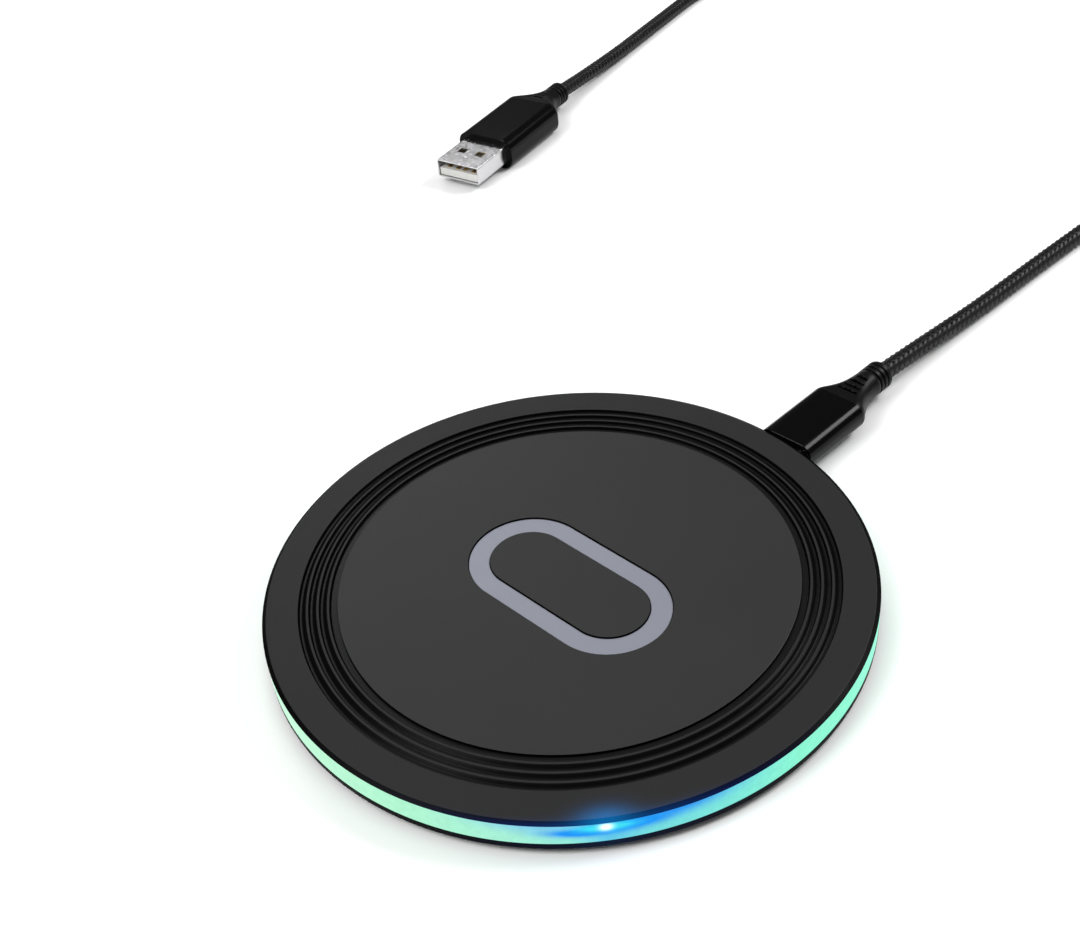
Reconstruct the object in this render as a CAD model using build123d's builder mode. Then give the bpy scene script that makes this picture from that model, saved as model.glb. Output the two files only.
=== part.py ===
"""Round wireless charging pad with a light ring, and the braided USB cable that is plugged into its edge.

The origin is the middle of the pad's underside, on the table. +Z is up and +Y is out through the
USB-C socket. The pad is built up in layers: rubber foot ring, base cover, light ring with its LED strip,
circuit board, ferrite with the transmitter coil, and the top cover with its centre panel and inlaid mark.
"""

from build123d import *
import math
import os

os.makedirs("parts", exist_ok=True)

# Pad, driving dimensions (mm)
PAD_RADIUS = 50.0
PAD_HEIGHT = 6.8
FOOT_LIFT = 1.2
BASE_EDGE_TOP = 2.15
BASE_TOP = 2.4
LIGHT_TOP = 6.25
TOP_FACE_RADIUS = 49.3
COVER_UNDERSIDE = 5.6
LIGHT_INNER_RADIUS = 48.0
FIT = 0.05
HAIR = 0.02
EDGE_CHAMFER = 0.35

# Grooves, centre panel and mark in the top face
PANEL_RADIUS = 37.7
PANEL_THICKNESS = 0.6
PANEL_ROUNDING = 0.12
GROOVE_COUNT = 4
GROOVE_WIDTH = 0.855
GROOVE_DEPTH = 0.45
MARK_LENGTH = 38.2
MARK_WIDTH = 20.2
MARK_BAND = 3.4
MARK_CENTRE = (1.5, -1.3)
MARK_POCKET = 0.4
MARK_THICKNESS = 0.25
MARK_GAP = 0.04

# Rubber ring under the base
FOOT_INNER = 35.0
FOOT_OUTER = 44.0
FOOT_POCKET = 0.5
FOOT_CHAMFER = 0.2

# Socket and plug, on an axis that runs out along +Y
PORT_X = 5.5
PORT_Z = 4.0
SOCKET_FRONT = 49.2
SOCKET_BACK = 41.9
PLUG_FACE = 50.3
BEZEL_WIDTH = 16.4
BEZEL_WEB = 0.4
BEZEL_REACH = 16
BEZEL_TALL = 8
BEZEL_HOLE = (9.1, 3.3, 1.55)
SOCKET_OUTER = (8.94, 3.16, 1.5)
SOCKET_MOUTH = (8.40, 2.56, 1.26)
SOCKET_BACK_WALL = 0.3
SOCKET_WING = (1.5, 1.1, 0.3)
WING_REACH = SOCKET_OUTER[0] + 1.3
WING_SPACING = 3.2
TONGUE_ROOT = 1.2
TONGUE_SIZE = (6.69, 0.7, 4.8)

# Inside the pad
SCREW_CIRCLE = 40.5
SCREW_ANGLES = (45, 135, 225, 315)
SPLIT_HEIGHT = 3.4
PILLAR_RADIUS = 2.5
BOSS_RADIUS = 3.0
RIB_RADIUS = 24.0
RIB_THICKNESS = 1.2
RIB_GAP = (14, 6)
POST_RADIUS = 2.2
POST_HOLE_DEPTH = 1.6
SCREW_RADIUS = 0.95
SCREW_PLAY = 0.15
THREAD_GAP = 0.03
SCREW_HEAD = (1.9, 0.75)
SCREW_LENGTH = 2.7
HEAD_SEAT = 2.5
BOARD_SCREW_RADIUS = 0.6
BOARD_SCREW_HEAD = (1.3, 0.7)
BOARD_SCREW_LENGTH = 2.2
BOARD_BOTTOM = 3.5
BOARD_THICKNESS = 0.8
BOARD_TOP = BOARD_BOTTOM + BOARD_THICKNESS
BOARD_INNER = 28.8
BOARD_OUTER = 46.9
BOARD_INNER_ENDS = (52, 128)
BOARD_OUTER_ENDS = (54, 126)
BOARD_SCREWS = ((-20.0, 31.0), (20.0, 31.0))
BOARD_HOLE_RADIUS = 0.8
FERRITE_RADIUS = 26.5
FERRITE_TOP = 4.2
LEAD_SLOT_WIDTH = 1.5
LEAD_SLOT_START = 8.6
ADHESIVE_THICKNESS = 0.1
ADHESIVE_MARGIN = 1.0
COIL_WIRE = 1.1
COIL_INNER = 10.6
COIL_PITCH = 1.3
COIL_TURNS = 10
WIRE_Z = FERRITE_TOP + ADHESIVE_THICKNESS + COIL_WIRE / 2
COIL_OUTER = COIL_INNER + COIL_PITCH * COIL_TURNS
LEAD_WIRE = 0.9
LEAD_WIRE_UNDER = 0.6
SENSOR_RADIUS = 1.2
SENSOR_HEIGHT = 1.0
SENSOR_LEG = (0.2, 1.5)
SENSOR_HOLE_RADIUS = 1.6
STRIP_INNER = 47.15
STRIP_THICKNESS = 0.25
LED_SIZE = (0.45, 3.0, 1.2)
LED_GAP = 0.03
LED_HEIGHT = 4.2
LED_ANGLES = (-40, 50, 140, 230)

# Block-shaped parts on the board: places (x, y, turn) of each kind, and its size
BOARD_PARTS = {
    "controller_chip": ([(-10.0, 36.0, 0)], (6.0, 6.0, 0.85)),
    "bridge_transistors": ([(x, y, 0) for x in (-3.0, 1.6) for y in (33.6, 38.4)], (3.2, 3.2, 0.8)),
    "resonant_capacitors": ([(8.0 + 2.4 * step, 34.0, 0) for step in range(4)], (1.7, 3.2, 1.0)),
    "input_capacitors": ([(-10.5 + 2.6 * step, 43.2, 0) for step in range(3)], (1.6, 2.6, 1.0)),
    "clock_crystal": ([(-16.6, 38.6, 30)], (2.0, 1.6, 0.6)),
}
PART_CHAMFER = 0.12
INDUCTOR_PLACE = (15.8, 39.6)
INDUCTOR_SIZE = (4.4, 4.4, 0.7)
INDUCTOR_HEIGHT = 1.15
INDUCTOR_DIMPLE = (1.5, 0.25)

# Cable
CORD_DIAMETER = 3.5
CORD_RADIUS = CORD_DIAMETER / 2
ARC_SHARE = 0.45
COIL_CENTRE = (-5.0, 241.0)
COIL_MEAN_RADIUS = 19.25
COIL_LOW = 0.6
COIL_LAYERS = 2
COIL_RINGS = 3
BUNDLE_WIDTH = COIL_RINGS * CORD_DIAMETER + 0.6
BUNDLE_HEIGHT = COIL_LAYERS * CORD_DIAMETER + 0.4
BUNDLE_CORNER = 1.6
TIE_THICKNESS = 0.5
TIE_WIDTH = 9.0
BOOT_LENGTH = 9.0
SLIT_COUNT = 4
SLIT_START = 3.0
SLIT_PITCH = 1.55
SLIT_SIZE = (3.9, 0.9, 0.7)
SLIT_SHRINK = 0.55
COLLAR_LENGTH = 4.5
COLLAR_DIAMETER = 5.6
COLLAR_GROOVES = 3
COLLAR_GROOVE_START = 0.75
COLLAR_GROOVE_PITCH = 1.2
COLLAR_GROOVE_WIDTH = 0.4
COLLAR_GROOVE_DEPTH = 0.3
GRIP_ROUNDING = 0.45
SHELL_ROOT = 2.0
USBC_LENGTH = 15.7
USBC_SIZE = (11.2, 5.4, 2.3)
PLUG_SHELL = (8.25, 2.40, 1.17)
PLUG_MOUTH = (7.75, 1.90, 0.92)
PLUG_TIP = 43.6
INSULATOR_INSET = 0.3
PLUG_SLOT = (6.9, 0.86, 5.0)
USBA_END = (-129.6, 131.4)
USBA_HEADING = -77.8
USBA_Z = 3.9
USBA_LENGTH = 21.0
USBA_SIZE = (15.4, 7.6, 2.8)
USBA_SHELL = (12.0, 4.5, 0.5)
USBA_WALL = 0.3
USBA_REACH = 11.8
USBA_WINDOW = (2.2, 1.2, 2.2)
USBA_WINDOW_PLACE = 6.2
USBA_WINDOW_SPACING = 5.0
USBA_TONGUE = (11.2, 1.84)
USBA_TONGUE_INSET = 0.4
USBA_BACK_BLOCK = (11.2, 1.8, 2.5)
USBA_CONTACT = (1.0, 0.15)
USBA_CONTACT_INSET = 1.2
USBA_CONTACT_RISE = 0.08
USBA_CONTACT_PLACES = (-3.5, -1.0, 1.0, 3.5)

# Routes of the cord's two loose stretches
LEAD_ROUTE = [
    (PORT_X, 79.5, 4.0),
    (5.7, 94.0, 3.0),
    (6.3, 112.0, 1.9),
    (7.0, 138.0, 1.8),
    (8.6, 170.0, 1.8),
    (12.4, 203.0, 1.9),
    (17.2, 229.0, 2.3),
]
TAIL_ROUTE = [
    (-15.0, 264.2, 5.2),
    (-35.0, 266.9, 3.0),
    (-62.0, 269.0, 1.8),
    (-103.0, 253.0, 1.8),
    (-134.0, 232.5, 1.8),
    (-147.4, 213.8, 1.8),
    (-140.6, 181.0, 1.8),
    (-134.3, 152.6, 2.2),
    (*USBA_END, USBA_Z),
]


def save(builder, name):
    """Label a finished piece and write it to its own file."""
    builder.part.label = name
    export_step(builder.part, f"parts/{name}.step")


def on_circle(radius, angle):
    """A point on a circle about the pad's axis, the angle in degrees from +X."""
    return (radius * math.cos(math.radians(angle)), radius * math.sin(math.radians(angle)))


# ---------------------------------------------------------------- pad covers

with BuildPart() as top_cover:
    with BuildSketch(Plane.XZ):
        with BuildLine():
            Polyline(
                (0, COVER_UNDERSIDE),
                (LIGHT_INNER_RADIUS - FIT, COVER_UNDERSIDE),
                (LIGHT_INNER_RADIUS - FIT, LIGHT_TOP),
                (PAD_RADIUS, LIGHT_TOP),
                (TOP_FACE_RADIUS, PAD_HEIGHT),
                (PANEL_RADIUS + FIT, PAD_HEIGHT),
                (PANEL_RADIUS + FIT, PAD_HEIGHT - PANEL_THICKNESS),
                (0, PAD_HEIGHT - PANEL_THICKNESS),
                close=True,
            )
        make_face()
        for number in range(GROOVE_COUNT):
            groove_middle = PANEL_RADIUS + FIT + (2 * number + 0.5) * GROOVE_WIDTH
            with Locations((groove_middle, PAD_HEIGHT)):
                Rectangle(GROOVE_WIDTH, 2 * GROOVE_DEPTH, mode=Mode.SUBTRACT)
    revolve(axis=Axis.Z)
    with BuildSketch(Plane.XY.offset(SPLIT_HEIGHT)):
        for angle in SCREW_ANGLES:
            with Locations(on_circle(SCREW_CIRCLE, angle)):
                Circle(PILLAR_RADIUS)
                Circle(SCREW_RADIUS + THREAD_GAP, mode=Mode.SUBTRACT)
    extrude(amount=COVER_UNDERSIDE - SPLIT_HEIGHT)
save(top_cover, "top_cover")

with BuildPart() as centre_panel:
    with BuildSketch(Plane.XY.offset(PAD_HEIGHT - PANEL_THICKNESS)):
        Circle(PANEL_RADIUS)
    extrude(amount=PANEL_THICKNESS)
    fillet(centre_panel.edges().filter_by(GeomType.CIRCLE).sort_by(Axis.Z)[-1], PANEL_ROUNDING)
    with BuildSketch(Plane.XY.offset(PAD_HEIGHT - MARK_POCKET)):
        with Locations(MARK_CENTRE):
            SlotOverall(MARK_LENGTH, MARK_WIDTH)
            SlotOverall(MARK_LENGTH - 2 * MARK_BAND, MARK_WIDTH - 2 * MARK_BAND, mode=Mode.SUBTRACT)
    extrude(amount=MARK_POCKET, mode=Mode.SUBTRACT)
save(centre_panel, "centre_panel")

with BuildPart() as mark_inlay:
    with BuildSketch(Plane.XY.offset(PAD_HEIGHT - MARK_POCKET)):
        with Locations(MARK_CENTRE):
            SlotOverall(MARK_LENGTH - 2 * MARK_GAP, MARK_WIDTH - 2 * MARK_GAP)
            SlotOverall(
                MARK_LENGTH - 2 * MARK_BAND + 2 * MARK_GAP,
                MARK_WIDTH - 2 * MARK_BAND + 2 * MARK_GAP,
                mode=Mode.SUBTRACT,
            )
    extrude(amount=MARK_THICKNESS)
save(mark_inlay, "mark_inlay")

with BuildPart() as base_cover:
    with BuildSketch(Plane.XZ):
        with BuildLine():
            Polyline(
                (0, FOOT_LIFT),
                (PAD_RADIUS - FIT - EDGE_CHAMFER, FOOT_LIFT),
                (PAD_RADIUS - FIT, FOOT_LIFT + EDGE_CHAMFER),
                (PAD_RADIUS - FIT, BASE_EDGE_TOP),
                (LIGHT_INNER_RADIUS - FIT, BASE_EDGE_TOP),
                (LIGHT_INNER_RADIUS - FIT, BASE_TOP),
                (0, BASE_TOP),
                close=True,
            )
        make_face()
        with Locations(((FOOT_INNER + FOOT_OUTER) / 2, FOOT_LIFT)):
            Rectangle(FOOT_OUTER - FOOT_INNER + 2 * FIT, 2 * FOOT_POCKET, mode=Mode.SUBTRACT)
    revolve(axis=Axis.Z)
    # Ring rib under the ferrite, open on the socket's side for the coil's and sensor's wires
    with BuildSketch(Plane.XY.offset(BASE_TOP)):
        Circle(RIB_RADIUS + RIB_THICKNESS / 2)
        Circle(RIB_RADIUS - RIB_THICKNESS / 2, mode=Mode.SUBTRACT)
        with Locations((0, RIB_RADIUS)):
            Rectangle(*RIB_GAP, mode=Mode.SUBTRACT)
    extrude(amount=BOARD_BOTTOM - BASE_TOP)
    # Posts for the circuit board, and bosses that meet the top cover's pillars
    with BuildSketch(Plane.XY.offset(BASE_TOP)):
        with Locations(*BOARD_SCREWS):
            Circle(POST_RADIUS)
    extrude(amount=BOARD_BOTTOM - BASE_TOP)
    with BuildSketch(Plane.XY.offset(BASE_TOP)):
        for angle in SCREW_ANGLES:
            with Locations(on_circle(SCREW_CIRCLE, angle)):
                Circle(BOSS_RADIUS)
    extrude(amount=SPLIT_HEIGHT - BASE_TOP)
    with Locations(*[(*on_circle(SCREW_CIRCLE, angle), SPLIT_HEIGHT) for angle in SCREW_ANGLES]):
        Hole(radius=SCREW_RADIUS + SCREW_PLAY, depth=SPLIT_HEIGHT - FOOT_LIFT)
    with BuildSketch(Plane.XY.offset(FOOT_LIFT)):
        for angle in SCREW_ANGLES:
            with Locations(on_circle(SCREW_CIRCLE, angle)):
                Circle(SCREW_HEAD[0] + 2 * FIT)
    extrude(amount=HEAD_SEAT - FOOT_LIFT, mode=Mode.SUBTRACT)
    with Locations(*[(*point, BOARD_BOTTOM) for point in BOARD_SCREWS]):
        Hole(radius=BOARD_SCREW_RADIUS + THREAD_GAP, depth=POST_HOLE_DEPTH)
save(base_cover, "base_cover")

with BuildPart() as foot_ring:
    with BuildSketch(Plane.XY):
        Circle(FOOT_OUTER)
        Circle(FOOT_INNER, mode=Mode.SUBTRACT)
    extrude(amount=FOOT_LIFT + FOOT_POCKET)
    chamfer(foot_ring.edges().filter_by(GeomType.CIRCLE).group_by(Axis.Z)[0], FOOT_CHAMFER)
save(foot_ring, "foot_ring")

LIGHT_SECTION = (PAD_RADIUS - LIGHT_INNER_RADIUS, LIGHT_TOP - BASE_EDGE_TOP)
with BuildPart() as light_ring:
    with BuildSketch(Plane.XZ):
        with Locations((LIGHT_INNER_RADIUS, BASE_EDGE_TOP)):
            Rectangle(*LIGHT_SECTION, align=(Align.MIN, Align.MIN))
    revolve(axis=Axis.Z)
    with Locations((PORT_X, PAD_RADIUS, PORT_Z)):
        Box(BEZEL_WIDTH, BEZEL_REACH, BEZEL_TALL, mode=Mode.SUBTRACT)
save(light_ring, "light_ring")

port_axis = Plane(origin=(PORT_X, 0, PORT_Z), x_dir=(-1, 0, 0), z_dir=(0, 1, 0))

with BuildPart() as port_bezel:
    with BuildSketch(Plane.XZ):
        with Locations((LIGHT_INNER_RADIUS - BEZEL_WEB, BASE_TOP)):
            Rectangle(BEZEL_WEB, COVER_UNDERSIDE - BASE_TOP, align=(Align.MIN, Align.MIN))
        with Locations((LIGHT_INNER_RADIUS, BASE_EDGE_TOP)):
            Rectangle(*LIGHT_SECTION, align=(Align.MIN, Align.MIN))
    revolve(axis=Axis.Z)
    with Locations((PORT_X, PAD_RADIUS, PORT_Z)):
        Box(BEZEL_WIDTH - 2 * FIT, BEZEL_REACH, BEZEL_TALL, mode=Mode.INTERSECT)
    with BuildSketch(port_axis.offset(PAD_RADIUS - BEZEL_REACH / 2)):
        RectangleRounded(*BEZEL_HOLE)
    extrude(amount=BEZEL_REACH, mode=Mode.SUBTRACT)
save(port_bezel, "port_bezel")

# ---------------------------------------------------------------- socket, board and coil

with BuildPart() as socket_shell:
    with BuildSketch(port_axis.offset(SOCKET_BACK)):
        RectangleRounded(*SOCKET_OUTER)
    extrude(amount=SOCKET_FRONT - SOCKET_BACK)
    with BuildSketch(port_axis.offset(SOCKET_BACK + SOCKET_BACK_WALL)):
        RectangleRounded(*SOCKET_MOUTH)
    extrude(amount=SOCKET_FRONT - SOCKET_BACK, mode=Mode.SUBTRACT)
    # Solder wings that rest on the board at both sides
    with BuildSketch(Plane.XY.offset(BOARD_TOP)):
        with Locations((PORT_X, (SOCKET_BACK + BOARD_OUTER) / 2 - 0.5)):
            with GridLocations(WING_REACH, WING_SPACING, 2, 2):
                Rectangle(SOCKET_WING[0], SOCKET_WING[1])
    extrude(amount=SOCKET_WING[2])
save(socket_shell, "socket_shell")


def lining(mouth):
    """The rounded rectangle that fits inside a metal shell's mouth with a hair of play."""
    return (mouth[0] - 2 * HAIR, mouth[1] - 2 * HAIR, mouth[2] - HAIR)


with BuildPart() as socket_tongue:
    with BuildSketch(port_axis.offset(SOCKET_BACK + SOCKET_BACK_WALL + HAIR)):
        RectangleRounded(*lining(SOCKET_MOUTH))
    extrude(amount=TONGUE_ROOT)
    with BuildSketch(port_axis.offset(SOCKET_BACK + SOCKET_BACK_WALL + TONGUE_ROOT)):
        Rectangle(TONGUE_SIZE[0], TONGUE_SIZE[1])
    extrude(amount=TONGUE_SIZE[2])
save(socket_tongue, "socket_tongue")

with BuildPart() as circuit_board:
    with BuildSketch(Plane.XY.offset(BOARD_BOTTOM)):
        with BuildLine():
            first_inner, last_inner = [on_circle(BOARD_INNER, angle) for angle in BOARD_INNER_ENDS]
            first_outer, last_outer = [on_circle(BOARD_OUTER, angle) for angle in BOARD_OUTER_ENDS]
            ThreePointArc(first_inner, (0, BOARD_INNER), last_inner)
            Line(last_inner, last_outer)
            ThreePointArc(last_outer, (0, BOARD_OUTER), first_outer)
            Line(first_outer, first_inner)
        make_face()
        with Locations(*BOARD_SCREWS):
            Circle(BOARD_HOLE_RADIUS, mode=Mode.SUBTRACT)
        with Locations((PORT_X, BOARD_OUTER)):
            notch_depth = BOARD_OUTER - SOCKET_BACK + 4 * FIT
            Rectangle(SOCKET_OUTER[0] + 6 * FIT, 2 * notch_depth, mode=Mode.SUBTRACT)
    extrude(amount=BOARD_THICKNESS)
save(circuit_board, "circuit_board")


def revolved_screw(head_radius, head_height, shank_radius, shank_length):
    """A screw with its head's underside at the origin and its shank along +Z."""
    with BuildPart() as screw:
        with BuildSketch(Plane.XZ):
            with BuildLine():
                Polyline(
                    (0, -head_height),
                    (head_radius * 0.75, -head_height),
                    (head_radius, -head_height * 0.4),
                    (head_radius, 0),
                    (shank_radius, 0),
                    (shank_radius, shank_length - shank_radius),
                    (0, shank_length),
                    close=True,
                )
            make_face()
        revolve(axis=Axis.Z)
        with BuildSketch(Plane.XY.offset(-head_height)):
            for turn in (0, 90):
                Rectangle(head_radius, head_radius * 0.28, rotation=turn)
        extrude(amount=head_height * 0.5, mode=Mode.SUBTRACT)
    return screw.part


cover_screw = revolved_screw(*SCREW_HEAD, SCREW_RADIUS, SCREW_LENGTH)
with BuildPart() as cover_screws:
    with Locations(*[(*on_circle(SCREW_CIRCLE, angle), HEAD_SEAT) for angle in SCREW_ANGLES]):
        add(cover_screw)
save(cover_screws, "cover_screws")

board_screw = revolved_screw(*BOARD_SCREW_HEAD, BOARD_SCREW_RADIUS, BOARD_SCREW_LENGTH)
with BuildPart() as board_screws:
    for point in BOARD_SCREWS:
        with Locations(Location((*point, BOARD_TOP), (180, 0, 0))):
            add(board_screw)
save(board_screws, "board_screws")

LEAD_SLOT = (LEAD_SLOT_WIDTH, 2 * (FERRITE_RADIUS - LEAD_SLOT_START))
with BuildPart() as ferrite_plate:
    with BuildSketch(Plane.XY.offset(BOARD_BOTTOM)):
        Circle(FERRITE_RADIUS)
        Circle(SENSOR_HOLE_RADIUS, mode=Mode.SUBTRACT)
        with Locations((0, FERRITE_RADIUS)):
            Rectangle(*LEAD_SLOT, mode=Mode.SUBTRACT)
    extrude(amount=FERRITE_TOP - BOARD_BOTTOM)
save(ferrite_plate, "ferrite_plate")

with BuildPart() as coil_adhesive:
    with BuildSketch(Plane.XY.offset(FERRITE_TOP)):
        Circle(COIL_OUTER + ADHESIVE_MARGIN)
        Circle(COIL_INNER - ADHESIVE_MARGIN, mode=Mode.SUBTRACT)
        with Locations((0, FERRITE_RADIUS)):
            Rectangle(*LEAD_SLOT, mode=Mode.SUBTRACT)
    extrude(amount=ADHESIVE_THICKNESS)
save(coil_adhesive, "coil_adhesive")

# The flat spiral is a chain of half turns, each a quarter pitch wider in radius than the last
with BuildPart() as transmitter_coil:
    with BuildLine(Plane.XY.offset(WIRE_Z)):
        for half in range(2 * COIL_TURNS):
            side = 1 if half % 2 == 0 else -1
            start = side * (COIL_INNER + half * COIL_PITCH / 2)
            end = -side * (COIL_INNER + (half + 1) * COIL_PITCH / 2)
            middle = (start + end) / 2
            ThreePointArc((0, start), (side * abs(start - end) / 2, middle), (0, end))
    with BuildSketch(Plane(origin=(0, COIL_INNER, WIRE_Z), z_dir=(1, 0, 0))):
        Circle(COIL_WIRE / 2)
    sweep()
save(transmitter_coil, "transmitter_coil")


def round_wire(points, corner, diameter):
    """A wire along straight runs with rounded corners."""
    with BuildPart() as wire:
        with BuildLine() as path:
            FilletPolyline(*points, radius=corner)
        with BuildSketch(path.line ^ 0):
            Circle(diameter / 2)
        sweep()
    return wire.part


# The inner end dips under the turns through the ferrite's slot, the outer end runs straight to the board
with BuildPart() as coil_leads:
    add(
        round_wire(
            [
                (0, COIL_INNER - 0.9, FERRITE_TOP + 0.6),
                (0, COIL_INNER - 0.9, BOARD_BOTTOM),
                (0, BOARD_INNER - 1.2, BOARD_BOTTOM),
                (0, BOARD_INNER - 1.2, BOARD_TOP + LEAD_WIRE / 2),
                (0, BOARD_INNER + 2.4, BOARD_TOP + LEAD_WIRE / 2),
            ],
            0.35,
            LEAD_WIRE_UNDER,
        )
    )
    add(
        round_wire(
            [
                (3.2, COIL_OUTER + 0.9, WIRE_Z),
                (4.0, BOARD_INNER - 1.0, WIRE_Z),
                (5.0, BOARD_INNER + 2.4, WIRE_Z),
            ],
            1.0,
            LEAD_WIRE,
        )
    )
save(coil_leads, "coil_leads")

with BuildPart() as thermistor:
    with BuildSketch(Plane.XY.offset(FERRITE_TOP)):
        Circle(SENSOR_RADIUS)
    extrude(amount=SENSOR_HEIGHT)
    fillet(thermistor.edges().filter_by(GeomType.CIRCLE).sort_by(Axis.Z)[-1], 0.3)
    with BuildSketch(Plane.XY.offset(FERRITE_TOP - SENSOR_LEG[1])):
        with GridLocations(SENSOR_RADIUS, 1, 2, 1):
            Circle(SENSOR_LEG[0])
    extrude(amount=SENSOR_LEG[1])
save(thermistor, "thermistor")


def chip_group(name, places, size):
    """One kind of small block-shaped part, soldered on the board at each (x, y, turn)."""
    with BuildPart() as group:
        with BuildSketch(Plane.XY.offset(BOARD_TOP)):
            for x, y, turn in places:
                with Locations((x, y)):
                    Rectangle(size[0], size[1], rotation=turn)
        extrude(amount=size[2])
        chamfer(group.edges().group_by(Axis.Z)[-1], PART_CHAMFER)
    save(group, name)


for part_name, (part_places, part_size) in BOARD_PARTS.items():
    chip_group(part_name, part_places, part_size)

with BuildPart() as power_inductor:
    with BuildSketch(Plane.XY.offset(BOARD_TOP)):
        with Locations(INDUCTOR_PLACE):
            RectangleRounded(*INDUCTOR_SIZE)
    extrude(amount=INDUCTOR_HEIGHT)
    with BuildSketch(Plane.XY.offset(BOARD_TOP + INDUCTOR_HEIGHT)):
        with Locations(INDUCTOR_PLACE):
            Circle(INDUCTOR_DIMPLE[0])
    extrude(amount=-INDUCTOR_DIMPLE[1], mode=Mode.SUBTRACT)
save(power_inductor, "power_inductor")

with BuildPart() as led_strip:
    with BuildSketch(Plane.XY.offset(BASE_TOP)):
        Circle(STRIP_INNER + STRIP_THICKNESS)
        Circle(STRIP_INNER, mode=Mode.SUBTRACT)
        with Locations((PORT_X, PAD_RADIUS)):
            Rectangle(BEZEL_WIDTH + 8 * FIT, BEZEL_REACH, mode=Mode.SUBTRACT)
    extrude(amount=COVER_UNDERSIDE - BASE_TOP - 4 * FIT)
save(led_strip, "led_strip")

with BuildPart() as ring_leds:
    for angle in LED_ANGLES:
        led_radius = STRIP_INNER + STRIP_THICKNESS + LED_GAP + LED_SIZE[0] / 2
        with Locations(Location((*on_circle(led_radius, angle), LED_HEIGHT), (0, 0, angle))):
            Box(*LED_SIZE)
save(ring_leds, "ring_leds")

# ---------------------------------------------------------------- cable: plugs


def across(axis, distance, width, height, corner):
    """A rounded rectangle across a plug's axis, this far along it."""
    with BuildSketch(axis.offset(distance)) as section:
        RectangleRounded(width, height, corner)
    return section.sketch


def plug_housing(axis, length, size, pocket):
    """The moulded grip of a plug from 0 to length along its axis, with a pocket for its metal shell."""
    width, height, corner = size
    with BuildPart() as housing:
        with BuildSketch(axis):
            RectangleRounded(width, height, corner)
        extrude(amount=length)
        fillet(housing.faces().sort_by(Axis(axis.origin, axis.z_dir))[0].edges(), GRIP_ROUNDING)
        with BuildSketch(axis):
            RectangleRounded(*pocket)
        extrude(amount=SHELL_ROOT, mode=Mode.SUBTRACT)
    return housing


def strain_relief(axis, start, size):
    """The soft boot behind a plug's housing: a swept-in taper with slits on both broad faces, then a ringed
    collar."""
    width, height, corner = size
    collar_start = start + BOOT_LENGTH
    collar = COLLAR_DIAMETER
    waist = 0.5 * (0.8 * width + collar)
    with BuildPart() as boot:
        loft(
            sections=[
                across(axis, start, width, height, corner),
                across(axis, start + 0.16 * BOOT_LENGTH, 0.95 * width, height, corner),
                across(axis, start + 0.45 * BOOT_LENGTH, waist, height, 0.45 * height),
                across(axis, collar_start, collar * 0.98, collar * 0.97, 0.47 * collar),
            ]
        )
        for number in range(SLIT_COUNT):
            slit_width = SLIT_SIZE[0] - SLIT_SHRINK * number
            with Locations(axis.offset(start + SLIT_START + SLIT_PITCH * number)):
                with Locations((0, height / 2), (0, -height / 2)):
                    Box(slit_width, SLIT_SIZE[1], SLIT_SIZE[2], mode=Mode.SUBTRACT)
        with BuildSketch(axis.offset(collar_start)):
            Circle(collar / 2)
        extrude(amount=COLLAR_LENGTH)
        for number in range(COLLAR_GROOVES):
            groove_start = collar_start + COLLAR_GROOVE_START + COLLAR_GROOVE_PITCH * number
            with BuildSketch(axis.offset(groove_start)):
                Circle(collar)
                Circle(collar / 2 - COLLAR_GROOVE_DEPTH, mode=Mode.SUBTRACT)
            extrude(amount=COLLAR_GROOVE_WIDTH, mode=Mode.SUBTRACT)
    return boot


usbc_axis = port_axis.offset(PLUG_FACE)
with BuildPart() as usbc_shell:
    with BuildSketch(port_axis.offset(PLUG_TIP)):
        RectangleRounded(*PLUG_SHELL)
        RectangleRounded(*PLUG_MOUTH, mode=Mode.SUBTRACT)
    extrude(amount=PLUG_FACE + SHELL_ROOT - PLUG_TIP)
save(usbc_shell, "usbc_shell")

with BuildPart() as usbc_insulator:
    with BuildSketch(port_axis.offset(PLUG_TIP + INSULATOR_INSET)):
        RectangleRounded(*lining(PLUG_MOUTH))
    extrude(amount=PLUG_FACE + SHELL_ROOT - PLUG_TIP - INSULATOR_INSET)
    with BuildSketch(port_axis.offset(PLUG_TIP)):
        Rectangle(PLUG_SLOT[0], PLUG_SLOT[1])
    extrude(amount=PLUG_SLOT[2], mode=Mode.SUBTRACT)
save(usbc_insulator, "usbc_insulator")

usbc_pocket = (PLUG_SHELL[0] + 2 * HAIR, PLUG_SHELL[1] + 2 * HAIR, PLUG_SHELL[2] + HAIR)
save(plug_housing(usbc_axis, USBC_LENGTH, USBC_SIZE, usbc_pocket), "usbc_housing")
save(strain_relief(usbc_axis, USBC_LENGTH, USBC_SIZE), "usbc_boot")

# USB-A plug: its axis runs from the housing's front back towards the cord
heading = math.radians(USBA_HEADING)
usba_reach = USBA_LENGTH + BOOT_LENGTH + COLLAR_LENGTH
usba_axis = Plane(
    origin=(
        USBA_END[0] + usba_reach * math.cos(heading),
        USBA_END[1] + usba_reach * math.sin(heading),
        USBA_Z,
    ),
    x_dir=(math.sin(heading), -math.cos(heading), 0),
    z_dir=(-math.cos(heading), -math.sin(heading), 0),
)
with BuildPart() as usba_shell:
    with BuildSketch(usba_axis.offset(-USBA_REACH)):
        RectangleRounded(*USBA_SHELL)
        offset(amount=-USBA_WALL, mode=Mode.SUBTRACT)
    extrude(amount=USBA_REACH + SHELL_ROOT)
    with Locations(usba_axis.offset(-USBA_REACH + USBA_WINDOW_PLACE)):
        with GridLocations(USBA_WINDOW_SPACING, USBA_SHELL[1], 2, 2):
            Box(*USBA_WINDOW, mode=Mode.SUBTRACT)
save(usba_shell, "usba_shell")

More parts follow.
